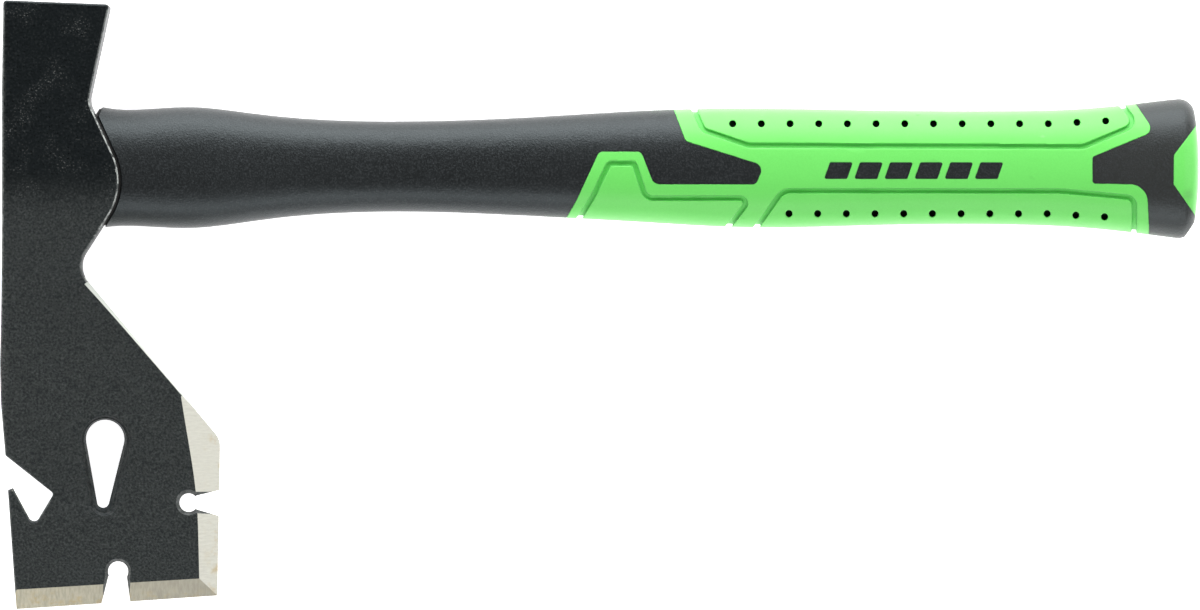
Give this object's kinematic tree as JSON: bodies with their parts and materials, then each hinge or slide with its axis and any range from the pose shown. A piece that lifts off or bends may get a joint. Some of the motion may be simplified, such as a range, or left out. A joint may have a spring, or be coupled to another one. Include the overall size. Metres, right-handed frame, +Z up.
{
  "type": "roofing hatchet",
  "caption": "Roofing hatchet with a forged head, a milled striking poll, a thin blade with a nail slot and notches, and an oval handle with a soft two-colour moulded grip",
  "frame": {"origin": "centre of the bounding box's bottom face: the middle of the tool's footprint as it lies on its cheek", "axes": "+X along the handle from the head to the butt, +Y towards the striking face, +Z up, normal to the cheeks"},
  "size_m": [0.343, 0.174, 0.028],
  "materials": {
    "head_coat": "fine-grained black powder coat, bare steel where the blade is ground",
    "core_fibreglass": "pultruded fibreglass, satin",
    "potting_epoxy": "cast black epoxy, glossy",
    "seal_rubber": "matt black",
    "jacket_plastic": "spark-eroded fine matt texture",
    "grip_rubber": "soft-touch satin green",
    "butt_rubber": "soft-touch satin green"
  },
  "bodies": {
    "root": {"hatchet_head": "head_coat", "handle_core": "core_fibreglass", "eye_epoxy": "potting_epoxy", "eye_seal": "seal_rubber", "handle_jacket": "jacket_plastic", "grip_sleeve": "grip_rubber", "butt_pad": "butt_rubber"}
  },
  "joints": []
}
